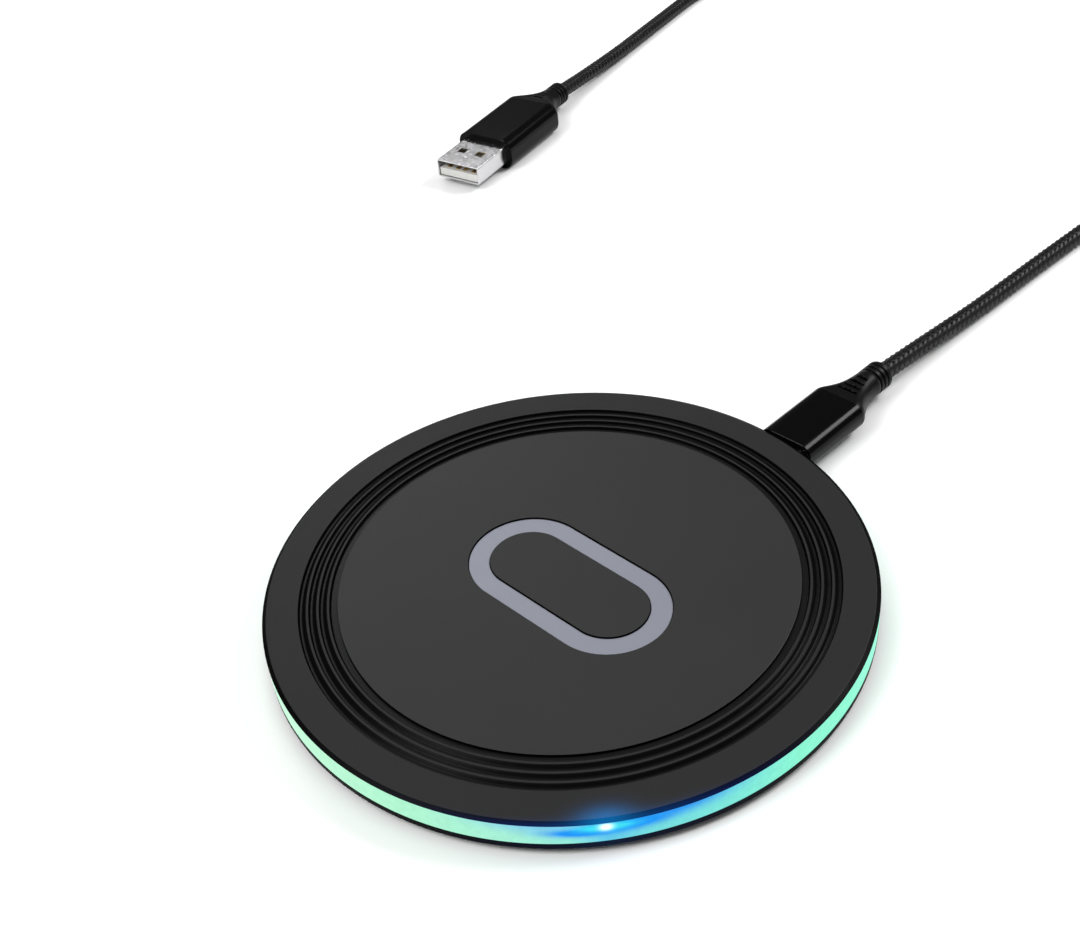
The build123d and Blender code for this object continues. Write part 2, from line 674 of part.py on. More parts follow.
with BuildPart() as usba_insulator:
    with BuildSketch(usba_axis.offset(-USBA_REACH + USBA_TONGUE_INSET)):
        with Locations((0, -USBA_TONGUE[1] / 2)):
            Rectangle(*USBA_TONGUE)
    extrude(amount=USBA_REACH + SHELL_ROOT - USBA_TONGUE_INSET)
    with BuildSketch(usba_axis.offset(SHELL_ROOT - USBA_BACK_BLOCK[2])):
        with Locations((0, USBA_BACK_BLOCK[1] / 2)):
            Rectangle(USBA_BACK_BLOCK[0], USBA_BACK_BLOCK[1])
    extrude(amount=USBA_BACK_BLOCK[2])
save(usba_insulator, "usba_insulator")

with BuildPart() as usba_contacts:
    with BuildSketch(usba_axis.offset(-USBA_REACH + USBA_CONTACT_INSET)):
        with Locations(*[(place, USBA_CONTACT_RISE) for place in USBA_CONTACT_PLACES]):
            Rectangle(*USBA_CONTACT)
    extrude(amount=USBA_REACH - 2 * USBA_CONTACT_INSET)
save(usba_contacts, "usba_contacts")

usba_pocket = (USBA_SHELL[0] + 2 * HAIR, USBA_SHELL[1] + 2 * HAIR, USBA_SHELL[2] + HAIR)
save(plug_housing(usba_axis, USBA_LENGTH, USBA_SIZE, usba_pocket), "usba_housing")
save(strain_relief(usba_axis, USBA_LENGTH, USBA_SIZE), "usba_boot")

# ---------------------------------------------------------------- cable: cord, coil and tie


def bend_radii(route):
    """The arc at each corner of a route, as large as its two runs allow."""
    points = [Vector(*point) for point in route]
    radii = []
    for before, corner, after in zip(points, points[1:], points[2:]):
        shorter = min((corner - before).length, (after - corner).length)
        turn = (corner - before).get_angle(after - corner)
        radii.append(ARC_SHARE * shorter / math.tan(math.radians(turn) / 2))
    return radii


def cord_tube(route):
    """The cord's plain tube along a route."""
    radii = bend_radii(route)
    print("bend radii", [round(radius, 1) for radius in radii])
    with BuildPart() as tube:
        with BuildLine() as path:
            FilletPolyline(*route, radius=radii)
        with BuildSketch(path.line ^ 0):
            Circle(CORD_RADIUS)
        sweep()
    length = sum(edge.length for edge in path.edges())
    filled = tube.part.volume / (length * math.pi * CORD_RADIUS**2)
    print("length", round(length, 1), "volume over section times length", round(filled, 4))
    return tube


save(cord_tube(LEAD_ROUTE), "cable_lead")
save(cord_tube(TAIL_ROUTE), "cable_tail")

coil_section = Plane(origin=(*COIL_CENTRE, 0), x_dir=(1, 0, 0), z_dir=(0, -1, 0))
coil_axis = Axis((*COIL_CENTRE, 0), (0, 0, 1))
with BuildPart() as cable_coil:
    with BuildSketch(coil_section):
        with Locations((COIL_MEAN_RADIUS, COIL_LOW + BUNDLE_HEIGHT / 2)):
            RectangleRounded(BUNDLE_WIDTH, BUNDLE_HEIGHT, BUNDLE_CORNER)
    revolve(axis=coil_axis)
save(cable_coil, "cable_coil")

with BuildPart() as cable_tie:
    with BuildSketch(coil_section):
        with Locations((-COIL_MEAN_RADIUS, COIL_LOW + BUNDLE_HEIGHT / 2)):
            RectangleRounded(
                BUNDLE_WIDTH + 2.2 * TIE_THICKNESS,
                BUNDLE_HEIGHT + 2.2 * TIE_THICKNESS,
                BUNDLE_CORNER + TIE_THICKNESS,
            )
            RectangleRounded(
                BUNDLE_WIDTH + 2 * FIT,
                BUNDLE_HEIGHT + 2 * FIT,
                BUNDLE_CORNER,
                mode=Mode.SUBTRACT,
            )
    revolve(axis=coil_axis, revolution_arc=math.degrees(TIE_WIDTH / COIL_MEAN_RADIUS))
save(cable_tie, "cable_tie")
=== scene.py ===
"""Looks for the wireless charging pad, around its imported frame.

In order: camera, cord, the pad's covers, panel, mark and light, the plugs, materials, floor and light.
Lengths are in millimetres in the pad's frame, and turned into metres as meshes and curves are made.
"""

import math

import bmesh
import bpy
import numpy as np
from mathutils import Matrix, Vector


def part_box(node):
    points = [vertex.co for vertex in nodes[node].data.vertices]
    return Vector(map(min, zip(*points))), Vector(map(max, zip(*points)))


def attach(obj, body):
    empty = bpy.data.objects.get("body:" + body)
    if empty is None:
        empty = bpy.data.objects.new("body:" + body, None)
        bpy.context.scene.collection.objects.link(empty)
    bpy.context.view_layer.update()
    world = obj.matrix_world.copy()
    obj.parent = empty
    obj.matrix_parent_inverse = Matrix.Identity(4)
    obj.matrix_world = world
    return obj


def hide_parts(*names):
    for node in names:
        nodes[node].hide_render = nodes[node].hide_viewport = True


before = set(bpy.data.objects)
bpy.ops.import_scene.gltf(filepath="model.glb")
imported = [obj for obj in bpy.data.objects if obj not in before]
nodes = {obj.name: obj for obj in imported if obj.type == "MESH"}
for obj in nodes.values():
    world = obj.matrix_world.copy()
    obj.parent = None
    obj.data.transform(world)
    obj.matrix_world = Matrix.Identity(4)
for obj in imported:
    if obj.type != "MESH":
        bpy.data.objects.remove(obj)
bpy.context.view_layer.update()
MM = 0.001

# ---------------------------------------------------------------- sizes, from the frame where it has them

PAD_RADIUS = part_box("top_cover")[1].x / MM
PAD_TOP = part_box("top_cover")[1].z / MM
LIGHT_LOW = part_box("light_ring")[0].z / MM + 0.25
LIGHT_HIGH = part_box("light_ring")[1].z / MM
BASE_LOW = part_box("base_cover")[0].z / MM
BASE_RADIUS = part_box("base_cover")[1].x / MM
PANEL_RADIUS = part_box("centre_panel")[1].x / MM
GRIP_LOW, GRIP_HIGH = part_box("usbc_housing")
PORT_X = (GRIP_LOW.x + GRIP_HIGH.x) / 2 / MM
PORT_Z = (GRIP_LOW.z + GRIP_HIGH.z) / 2 / MM
PLUG_FACE = GRIP_LOW.y / MM
PLUG_BACK = GRIP_HIGH.y / MM
HALF_GAP = 8.2
LIGHT_INNER = 48.0
TOP_FACE_RADIUS = 49.25
HOT_ANGLE = -40.0
SEGMENTS = 400

# ---------------------------------------------------------------- camera

VIEW_TURN = math.radians(48.8)
VIEW_DOWN = math.radians(39.37)
VIEW_ROLL = math.radians(6.36)
VIEW_DISTANCE = 244.3
VIEW_ASIDE = -2.65
VIEW_RISE = 16.34


def view_direction(aside, ahead, up):
    """A direction given as the camera's ground frame sees it: to its right, away from it, and up."""
    cos, sin = math.cos(VIEW_TURN), math.sin(VIEW_TURN)
    return Vector((cos * aside - sin * ahead, sin * aside + cos * ahead, up))


def make_camera():
    forward = view_direction(0, math.cos(VIEW_DOWN), -math.sin(VIEW_DOWN))
    level_right = view_direction(1, 0, 0)
    level_up = view_direction(0, math.sin(VIEW_DOWN), math.cos(VIEW_DOWN))
    right = math.cos(VIEW_ROLL) * level_right - math.sin(VIEW_ROLL) * level_up
    up = math.sin(VIEW_ROLL) * level_right + math.cos(VIEW_ROLL) * level_up
    place = Vector((0, 0, PAD_TOP)) - VIEW_DISTANCE * forward
    place += VIEW_ASIDE * level_right + VIEW_RISE * level_up
    camera = bpy.data.objects.new("camera", bpy.data.cameras.new("camera"))
    camera.data.lens = 50
    camera.data.sensor_width = 36
    camera.data.clip_start = 0.01
    turn = Matrix((right, up, -forward)).transposed().to_4x4()
    camera.matrix_world = Matrix.Translation(place * MM) @ turn
    bpy.context.scene.collection.objects.link(camera)
    bpy.context.scene.camera = camera


make_camera()

# ---------------------------------------------------------------- mesh helpers


def apply_modifiers(piece):
    view = bpy.context.evaluated_depsgraph_get()
    shaped = bpy.data.meshes.new_from_object(piece.evaluated_get(view))
    piece.modifiers.clear()
    piece.data = shaped


def settle_normals(piece):
    """Lets broad flat faces keep their own normals beside small roundings."""
    weighted = piece.modifiers.new("normals", "WEIGHTED_NORMAL")
    weighted.keep_sharp = True
    apply_modifiers(piece)


def make_mesh(name, vertices, faces, body, smooth_angle=35, weighted=True):
    """A piece from points in mm, shaded smooth except across corners sharper than the angle."""
    mesh = bpy.data.meshes.new(name)
    mesh.from_pydata([tuple(c * MM for c in v) for v in vertices], [], faces)
    mesh.validate()
    tidy = bmesh.new()
    tidy.from_mesh(mesh)
    bmesh.ops.recalc_face_normals(tidy, faces=tidy.faces)
    tidy.to_mesh(mesh)
    tidy.free()
    mesh.shade_smooth()
    mesh.set_sharp_from_angle(angle=math.radians(smooth_angle))
    piece = bpy.data.objects.new(name, mesh)
    bpy.context.scene.collection.objects.link(piece)
    if weighted:
        settle_normals(piece)
    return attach(piece, body)


def rounded(corners, steps=4):
    """An outline through (x, y, rounding) corners, each one rounded off."""
    outline = []
    for index, (x, y, rounding) in enumerate(corners):
        here = Vector((x, y))
        before = Vector(corners[index - 1][:2]) - here
        after = Vector(corners[(index + 1) % len(corners)][:2]) - here
        if rounding <= 0:
            outline.append((x, y))
            continue
        first = here + before.normalized() * min(rounding, 0.45 * before.length)
        last = here + after.normalized() * min(rounding, 0.45 * after.length)
        for step in range(steps + 1):
            t = step / steps
            point = (1 - t) ** 2 * first + 2 * t * (1 - t) * here + t * t * last
            outline.append((point.x, point.y))
    return outline


def lathe(name, outline, start=0.0, end=360.0):
    """Turns an outline of (radius, height) about the pad's axis, from start to end in degrees."""
    whole = end - start >= 360
    count = int(SEGMENTS * (end - start) / 360)
    vertices, rings, faces = [], [], []
    for step in range(count if whole else count + 1):
        angle = math.radians(start + (end - start) * step / count)
        ring = []
        for radius, height in outline:
            if radius < 1e-6 and step:
                ring.append(rings[0][len(ring)])
                continue
            ring.append(len(vertices))
            vertices.append((radius * math.cos(angle), radius * math.sin(angle), height))
        rings.append(ring)
    size = len(outline)
    for step in range(count):
        near, far = rings[step], rings[(step + 1) % len(rings)]
        for k in range(size):
            face = [near[k], near[(k + 1) % size], far[(k + 1) % size], far[k]]
            face = [v for i, v in enumerate(face) if v not in face[:i]]
            if len(face) > 2:
                faces.append(face)
    if not whole:
        faces += [rings[0][::-1], rings[-1]]
    return make_mesh(name, vertices, faces, "pad")


def rounded_rectangle(width, height, corner, side_steps=6, corner_steps=8):
    """Points round a rounded rectangle, always the same number, so that sections can be joined."""
    points = []
    corner = min(corner, 0.499 * width, 0.499 * height)
    for quarter in range(4):
        sign_x = 1 if quarter in (0, 3) else -1
        sign_y = 1 if quarter in (0, 1) else -1
        centre = (sign_x * (width / 2 - corner), sign_y * (height / 2 - corner))
        for step in range(corner_steps + 1):
            angle = math.radians(90 * quarter + 90 * step / corner_steps)
            points.append((centre[0] + corner * math.cos(angle), centre[1] + corner * math.sin(angle)))
        next_x = 1 if (quarter + 1) % 4 in (0, 3) else -1
        next_y = 1 if (quarter + 1) % 4 in (0, 1) else -1
        angle = math.radians(90 * (quarter + 1))
        target = (
            next_x * (width / 2 - corner) + corner * math.cos(angle),
            next_y * (height / 2 - corner) + corner * math.sin(angle),
        )
        last = points[-1]
        for step in range(1, side_steps):
            t = step / side_steps
            points.append((last[0] + t * (target[0] - last[0]), last[1] + t * (target[1] - last[1])))
    return points


def loft(name, place, sections):
    """Joins sections (distance along the axis, points across it) into one closed piece."""
    vertices, faces = [], []
    size = len(sections[0][1])
    for distance, points in sections:
        vertices += [place(x, y, distance) for x, y in points]
    for row in range(len(sections) - 1):
        for k in range(size):
            near, far = row * size, (row + 1) * size
            faces.append([near + k, near + (k + 1) % size, far + (k + 1) % size, far + k])
    faces.append(list(range(size))[::-1])
    faces.append([len(vertices) - size + k for k in range(size)])
    return make_mesh(name, vertices, faces, "cable")


def cut(piece, tools):
    """Cuts closed tool meshes out of a piece and removes them."""
    for tool in tools:
        boolean = piece.modifiers.new("cut", "BOOLEAN")
        boolean.operation = "DIFFERENCE"
        boolean.solver = "EXACT"
        boolean.object = tool
    apply_modifiers(piece)
    for tool in tools:
        bpy.data.objects.remove(tool)
    piece.data.shade_smooth()
    piece.data.set_sharp_from_angle(angle=math.radians(32))
    settle_normals(piece)


# ---------------------------------------------------------------- cord: route, braid

CORD_DIAMETER = 3.5
LEAD_ROUTE = [
    (PORT_X, 79.5, 4.0),
    (5.7, 94.0, 3.0),
    (6.3, 112.0, 1.9),
    (7.0, 138.0, 1.8),
    (8.6, 170.0, 1.8),
    (12.4, 203.0, 1.9),
    (17.2, 229.0, 2.3),
]
TAIL_ROUTE = [
    (-15.0, 264.2, 5.2),
    (-35.0, 266.9, 3.0),
    (-62.0, 269.0, 1.8),
    (-103.0, 253.0, 1.8),
    (-134.0, 232.5, 1.8),
    (-147.4, 213.8, 1.8),
    (-140.6, 181.0, 1.8),
    (-134.3, 152.6, 2.2),
    (-129.6, 131.4, 3.9),
]
COIL_LOW, COIL_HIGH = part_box("cable_coil")
COIL_CENTRE = (COIL_LOW + COIL_HIGH) / 2 / MM
COIL_MEAN = 19.25
COIL_FLOOR = COIL_LOW.z / MM + CORD_DIAMETER / 2 + 0.15
POINTS_A_TURN = 14
# Ring and layer of each turn: three side by side from the outside in, then back out on top of them
COIL_PLACES = [(1, 0), (0, 0), (-1, 0), (-1, 1), (0, 1), (1, 1)]
COIL_TURNS = 5.25


def coil_points():
    """The tied coil's turns, each one stepping over to the next place in its last quarter."""
    points = []
    count = int(COIL_TURNS * POINTS_A_TURN)
    for step in range(count + 1):
        turns = step / POINTS_A_TURN
        index = min(int(turns), len(COIL_PLACES) - 1)
        after = min(index + 1, len(COIL_PLACES) - 1)
        share = min(max((turns - index - 0.75) / 0.25, 0.0), 1.0)
        share = share * share * (3 - 2 * share)
        ring = COIL_PLACES[index][0] * (1 - share) + COIL_PLACES[after][0] * share
        layer = COIL_PLACES[index][1] * (1 - share) + COIL_PLACES[after][1] * share
        radius = (COIL_MEAN + ring * CORD_DIAMETER) * 1.012
        angle = math.tau * turns
        points.append(
            (
                COIL_CENTRE.x + radius * math.cos(angle),
                COIL_CENTRE.y + radius * math.sin(angle),
                COIL_FLOOR + layer * CORD_DIAMETER,
            )
        )
    return points


def route_line(name, points):
    """The smooth line of a route: a NURBS spline with the route's points as its control points."""
    curve = bpy.data.curves.new(name, "CURVE")
    curve.dimensions = "3D"
    spline = curve.splines.new("NURBS")
    spline.points.add(len(points) - 1)
    for point, place in zip(spline.points, points):
        point.co = (*(c * MM for c in place), 1)
    spline.order_u = 3
    spline.use_endpoint_u = True
    spline.resolution_u = 10
    holder = bpy.data.objects.new(name, curve)
    bpy.context.scene.collection.objects.link(holder)
    bpy.context.view_layer.update()
    mesh = bpy.data.meshes.new_from_object(holder.evaluated_get(bpy.context.evaluated_depsgraph_get()))
    line = np.array([v.co for v in mesh.vertices]) / MM
    bpy.data.objects.remove(holder)
    bpy.data.meshes.remove(mesh)
    return line


def evenly(line, step):
    """The same line with points a fixed distance apart, and how far along it each one is."""
    along = np.concatenate([[0], np.cumsum(np.linalg.norm(np.diff(line, axis=0), axis=1))])
    count = int(round(along[-1] / step))
    wanted = np.linspace(0, along[-1], count + 1)
    return np.stack([np.interp(wanted, along, line[:, k]) for k in range(3)], 1), wanted


def carried_frames(line):
    """Two directions across the line at each point, carried along it without twisting."""
    tangents = np.gradient(line, axis=0)
    tangents /= np.linalg.norm(tangents, axis=1)[:, None]
    across = np.zeros_like(line)
    first = np.cross(tangents[0], (0, 0, 1))
    across[0] = first / np.linalg.norm(first)
    for k in range(1, len(line)):
        kept = across[k - 1] - tangents[k] * np.dot(across[k - 1], tangents[k])
        across[k] = kept / np.linalg.norm(kept)
    return across, np.cross(tangents, across)


BRAID_STEP = 0.75
BRAID_PITCH = 12.8
STRANDS_EACH_WAY = 8
CORE_RADIUS = 1.43
STRAND_MEAN = 1.62
STRAND_WEAVE = 0.15
STRAND_HALF_WIDTH = 0.43
STRAND_HALF_THICKNESS = 0.11
STRAND_EDGE_DROP = 0.03
CORE_SIDES = 8


def braided_cord(name, points, body):
    """A dark core and flat yarns, eight each way round, that pass two over and two under each other."""
    line, along = evenly(route_line(name + "_route", points), BRAID_STEP)
    across, beside = carried_frames(line)
    count = len(line)
    vertices, faces = [], []

    def tube(rings, size):
        """Adds a closed tube whose rings have this many points."""
        first = sum(len(part) for part in vertices)
        vertices.append(rings.reshape(-1, 3))
        near = np.arange(count - 1)[:, None] * size + np.arange(size)[None]
        turned = np.arange(count - 1)[:, None] * size + (np.arange(size)[None] + 1) % size
        quads = np.stack([near, turned, turned + size, near + size], -1).reshape(-1, 4) + first
        faces.extend(quads.tolist())
        faces.append((first + np.arange(size))[::-1].tolist())
        faces.append((first + (count - 1) * size + np.arange(size)).tolist())

    core = np.arange(CORE_SIDES) * math.tau / CORE_SIDES
    rings = (
        line[:, None]
        + CORE_RADIUS * np.cos(core)[None, :, None] * across[:, None]
        + CORE_RADIUS * np.sin(core)[None, :, None] * beside[:, None]
    )
    tube(rings, CORE_SIDES)
    crossings = 2 * STRANDS_EACH_WAY * along / BRAID_PITCH
    lean = math.atan2(math.tau * STRAND_MEAN, BRAID_PITCH)
    spread = STRAND_HALF_WIDTH / math.cos(lean) / STRAND_MEAN
    for way in (1, -1):
        for number in range(STRANDS_EACH_WAY):
            turn = math.tau * (number / STRANDS_EACH_WAY + way * along / BRAID_PITCH)
            weave = way * np.cos(math.pi / 2 * (crossings + way * 2 * number) + way * math.pi / 4)
            middle = STRAND_MEAN + STRAND_WEAVE * weave
            rings = []
            for side, lift in ((-1, 0), (0, 1), (1, 0), (0, -1)):
                angle = turn + side * spread
                radius = middle + lift * STRAND_HALF_THICKNESS - STRAND_EDGE_DROP * abs(side)
                aside = (radius * np.cos(angle))[:, None] * across
                rings.append(line + aside + (radius * np.sin(angle))[:, None] * beside)
            tube(np.stack(rings, 1), 4)
    return make_mesh(name, np.concatenate(vertices).tolist(), faces, body, 70, False), line


cord_route = LEAD_ROUTE + coil_points() + TAIL_ROUTE
cord, cord_line = braided_cord("cable_cord", cord_route, "cable")
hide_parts("cable_lead", "cable_coil", "cable_tail")

# ---------------------------------------------------------------- pad: covers, panel, mark, light ring


def made_for(piece, node):
    """The piece stands for a CAD node, which it hides."""
    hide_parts(node)
    return piece


GROOVE_COUNT = 4
GROOVE_PITCH = 1.71
GROOVE_DEPTH = 0.5
SLOPE_RUN = 0.55
WALL_RUN = 0.24
GROOVE_WIDTH = 1.24
GROOVE_START = PANEL_RADIUS + 0.05
UNDERSIDE = 5.6
PANEL_LOW = PAD_TOP - 0.6


def cover_outline():
    """The top cover's section: bevelled rim, flat ring, and grooves steep outside and sloped inside."""
    seat = LIGHT_INNER - 0.05
    corners = [(0, UNDERSIDE, 0), (seat, UNDERSIDE, 0.05), (seat, LIGHT_HIGH, 0)]
    corners += [(PAD_RADIUS - 0.05, LIGHT_HIGH, 0.06), (PAD_RADIUS, LIGHT_HIGH + 0.14, 0.08)]
    corners += [(TOP_FACE_RADIUS + 0.12, PAD_TOP - 0.10, 0.05), (TOP_FACE_RADIUS, PAD_TOP, 0.07)]
    floor = PAD_TOP - GROOVE_DEPTH
    for number in reversed(range(GROOVE_COUNT)):
        inner = GROOVE_START + number * GROOVE_PITCH
        outer = inner + GROOVE_WIDTH
        corners += [(outer, PAD_TOP, 0.04), (outer - WALL_RUN, floor, 0.06)]
        if number:
            corners += [(inner + SLOPE_RUN, floor, 0.2), (inner, PAD_TOP, 0.14)]
    corners += [(GROOVE_START, floor, 0), (GROOVE_START, PANEL_LOW, 0), (0, PANEL_LOW, 0)]
    return rounded(corners)


top_cover = made_for(lathe("top_shell", cover_outline()), "top_cover")
SCREW_CIRCLE = 40.5
PILLAR_RADIUS = 2.5
PILLAR_BORE = 0.98
PILLAR_FOOT = 3.4
PILLAR_SIDES = 32


def pillars():
    """The four screw pillars under the cover, as short tubes."""
    top = UNDERSIDE - 0.01
    low = PILLAR_FOOT
    outline = [(PILLAR_BORE, low), (PILLAR_RADIUS, low), (PILLAR_RADIUS, top), (PILLAR_BORE, top)]
    vertices, faces = [], []
    for angle in (45, 135, 225, 315):
        x, y = SCREW_CIRCLE * math.cos(math.radians(angle)), SCREW_CIRCLE * math.sin(math.radians(angle))
        first = len(vertices)
        for step in range(PILLAR_SIDES):
            turn = math.tau * step / PILLAR_SIDES
            vertices += [(x + r * math.cos(turn), y + r * math.sin(turn), z) for r, z in outline]
        for step in range(PILLAR_SIDES):
            for k in range(4):
                near, far = first + 4 * step, first + 4 * ((step + 1) % PILLAR_SIDES)
                faces.append([near + k, near + (k + 1) % 4, far + (k + 1) % 4, far + k])
    return make_mesh("top_shell_pillars", vertices, faces, "pad")


cover_pillars = pillars()


def slot_outline(length, width, centre, arc_steps=48, side_steps=12):
    """Points round a stadium that is long along X."""
    radius, reach = width / 2, (length - width) / 2
    points = []
    for end, begin in ((1, -90), (-1, 90)):
        for step in range(arc_steps + 1):
            angle = math.radians(begin + 180 * step / arc_steps)
            x = end * reach + radius * math.cos(angle)
            points.append((centre[0] + x, centre[1] + radius * math.sin(angle)))
        for step in range(1, side_steps):
            x = end * reach * (1 - 2 * step / side_steps)
            points.append((centre[0] + x, centre[1] + end * radius))
    return points


MARK_LOW, MARK_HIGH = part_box("mark_inlay")
MARK_CENTRE = tuple(((MARK_LOW + MARK_HIGH) / 2 / MM).xy)
MARK_GAP = 0.13
MARK_LENGTH = (MARK_HIGH.x - MARK_LOW.x) / MM + 2 * MARK_GAP
MARK_WIDTH = (MARK_HIGH.y - MARK_LOW.y) / MM + 2 * MARK_GAP
MARK_BAND = 3.4 + 2 * MARK_GAP
MARK_FLOOR = MARK_LOW.z / MM
MARK_TOP = MARK_HIGH.z / MM - 0.13
# How the top edges are softened, in steps across and down
SOFT_EDGE = [(0.04, 0.0), (0.012, 0.012), (0.0, 0.04)]
PANEL_EDGE = [(0, 0.14), (0.03, 0.05), (0.08, 0.015), (0.16, 0)]


def fill_between(mesh, loops):
    """Fills the flat region between closed loops of vertices."""
    edges = []
    for loop in loops:
        for a, b in zip(loop, loop[1:] + loop[:1]):
            edge = mesh.edges.get((a, b))
            edges.append(edge or mesh.edges.new((a, b)))
    bmesh.ops.triangle_fill(mesh, edges=edges, use_beauty=True, normal=(0, 0, 1))


def bridge(mesh, lower, upper):
    """Joins two rings of vertices by a band of faces."""
    size = len(lower)
    for k in range(size):
        mesh.faces.new((lower[k], lower[(k + 1) % size], upper[(k + 1) % size], upper[k]))


def finish_bmesh(name, mesh):
    """Makes a piece of the pad from a filled bmesh."""
    bmesh.ops.recalc_face_normals(mesh, faces=mesh.faces)
    data = bpy.data.meshes.new(name)
    mesh.to_mesh(data)
    mesh.free()
    data.shade_smooth()
    data.set_sharp_from_angle(angle=math.radians(35))
    piece = bpy.data.objects.new(name, data)
    bpy.context.scene.collection.objects.link(piece)
    settle_normals(piece)
    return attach(piece, "pad")


def ring_of(mesh, points, height):
    return [mesh.verts.new((x * MM, y * MM, height * MM)) for x, y in points]


def circle_points(radius):
    turns = [math.tau * k / SEGMENTS for k in range(SEGMENTS)]
    return [(radius * math.cos(turn), radius * math.sin(turn)) for turn in turns]


def slot_walls(mesh, length, width, sign, top):
    """A stadium's wall from its softened top edge to the mark's floor; sign is the way the edge leans."""
    levels = [(out, top - drop) for out, drop in SOFT_EDGE] + [(0.0, MARK_FLOOR)]
    walls = []
    for out, height in levels:
        spread = 2 * sign * out
        walls.append(ring_of(mesh, slot_outline(length + spread, width + spread, MARK_CENTRE), height))
    for upper, lower in zip(walls, walls[1:]):
        bridge(mesh, lower, upper)
    return walls[0], walls[-1]


def panel_mesh():
    """The centre panel: a disc with a softened edge and the mark's pocket, its rims slightly rounded."""
    mesh = bmesh.new()
    levels = [(0, PANEL_LOW)] + [(inset, PAD_TOP - drop) for inset, drop in PANEL_EDGE]
    rings = [ring_of(mesh, circle_points(PANEL_RADIUS - inset), height) for inset, height in levels]
    for lower, upper in zip(rings, rings[1:]):
        bridge(mesh, lower, upper)
    outer_top, outer_low = slot_walls(mesh, MARK_LENGTH, MARK_WIDTH, 1, PAD_TOP)
    inner_size = (MARK_LENGTH - 2 * MARK_BAND, MARK_WIDTH - 2 * MARK_BAND)
    inner_top, inner_low = slot_walls(mesh, *inner_size, -1, PAD_TOP)
    fill_between(mesh, [rings[-1], outer_top])
    fill_between(mesh, [inner_top])
    fill_between(mesh, [outer_low, inner_low])
    fill_between(mesh, [rings[0]])
    return finish_bmesh("panel_disc", mesh)


def mark_mesh():
    """The inlaid mark: a stadium ring that fits its pocket and stands a little below the panel."""
    mesh = bmesh.new()
    less = 2 * MARK_GAP
    more = 2 * MARK_BAND - 2 * MARK_GAP
    outer_top, outer_low = slot_walls(mesh, MARK_LENGTH - less, MARK_WIDTH - less, -1, MARK_TOP)
    inner_top, inner_low = slot_walls(mesh, MARK_LENGTH - more, MARK_WIDTH - more, 1, MARK_TOP)
    fill_between(mesh, [outer_top, inner_top])
    fill_between(mesh, [outer_low, inner_low])
    return finish_bmesh("mark_ring", mesh)


panel = made_for(panel_mesh(), "centre_panel")
mark = made_for(mark_mesh(), "mark_inlay")

BASE_TOP = LIGHT_LOW - 0.01
FOOT_INNER, FOOT_OUTER = 35.0, 44.0
FOOT_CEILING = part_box("foot_ring")[1].z / MM
RIDGE_COUNT = 7
RIDGE_DEPTH = 0.15
base_outline = rounded(
    [
        (0, BASE_LOW, 0),
        (FOOT_INNER - 0.05, BASE_LOW, 0.08),
        (FOOT_INNER - 0.05, FOOT_CEILING, 0),
        (FOOT_OUTER + 0.05, FOOT_CEILING, 0),
        (FOOT_OUTER + 0.05, BASE_LOW, 0.08),
        (BASE_RADIUS - 0.12, BASE_LOW, 0.08),
        (BASE_RADIUS, BASE_LOW + 0.14, 0.1),
        (BASE_RADIUS, BASE_TOP, 0.06),
        (0, BASE_TOP, 0),
    ]
)
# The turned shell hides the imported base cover, whose ribs and bosses only matter inside
base_shell = made_for(lathe("base_shell", base_outline), "base_cover")


def foot_outline():
    """The rubber ring, with fine concentric ridges underneath."""
    corners = [(FOOT_INNER, FOOT_CEILING, 0), (FOOT_INNER, 0.0, 0.25)]
    width = (FOOT_OUTER - FOOT_INNER) / RIDGE_COUNT
    for number in range(1, RIDGE_COUNT):
        middle = FOOT_INNER + width * number
        corners += [(middle - 0.2, 0.0, 0.08), (middle - 0.08, RIDGE_DEPTH, 0.05)]
        corners += [(middle + 0.08, RIDGE_DEPTH, 0.05), (middle + 0.2, 0.0, 0.08)]
    corners += [(FOOT_OUTER, 0.0, 0.25), (FOOT_OUTER, FOOT_CEILING, 0)]
    return rounded(corners, 3)


foot = made_for(lathe("rubber_foot", foot_outline()), "foot_ring")

GAP_FROM = 90 - math.degrees(math.asin((PORT_X + HALF_GAP) / PAD_RADIUS))
GAP_TO = 90 - math.degrees(math.asin((PORT_X - HALF_GAP) / PAD_RADIUS))
light_outline = rounded(
    [
        (LIGHT_INNER, LIGHT_LOW, 0),
        (PAD_RADIUS - 0.06, LIGHT_LOW, 0.08),
        (PAD_RADIUS - 0.02, (LIGHT_LOW + LIGHT_HIGH) / 2, 1.2),
        (PAD_RADIUS - 0.08, LIGHT_HIGH, 0.08),
        (LIGHT_INNER, LIGHT_HIGH, 0),
    ]
)
light_band = lathe("light_band", light_outline, GAP_TO + 0.02, GAP_FROM + 360 - 0.02)
made_for(light_band, "light_ring")

# ---------------------------------------------------------------- plugs

FRONT_SOFTENING = 0.12
BOOT_LENGTH = 9.0
SHOULDER_SHARE = 0.14
SHOULDER_FALL = 0.16
WAIST_POWER = 2.1
SLIT_COUNT = 4
SLIT_FIRST = 2.7
SLIT_PITCH = 1.55
SLIT_SPAN = 4.3
SLIT_SHORTENING = 0.62
SLIT_WIDTH = 0.8
SLIT_DEPTH = 0.95
COLLAR_LENGTH = 4.5
COLLAR_DIAMETER = 5.6
COLLAR_GROOVES = 3
COLLAR_FIRST = 0.75
COLLAR_PITCH = 1.15
COLLAR_DEPTH = 0.3


def plug_place(front, out):
    """A function from (across, up, along) to the pad's frame, for a plug whose cord leaves along out."""
    up = Vector((0, 0, 1))
    aside = up.cross(out).normalized()

    def place(x, y, s):
        return front + aside * x + up * y + out * s

    return place


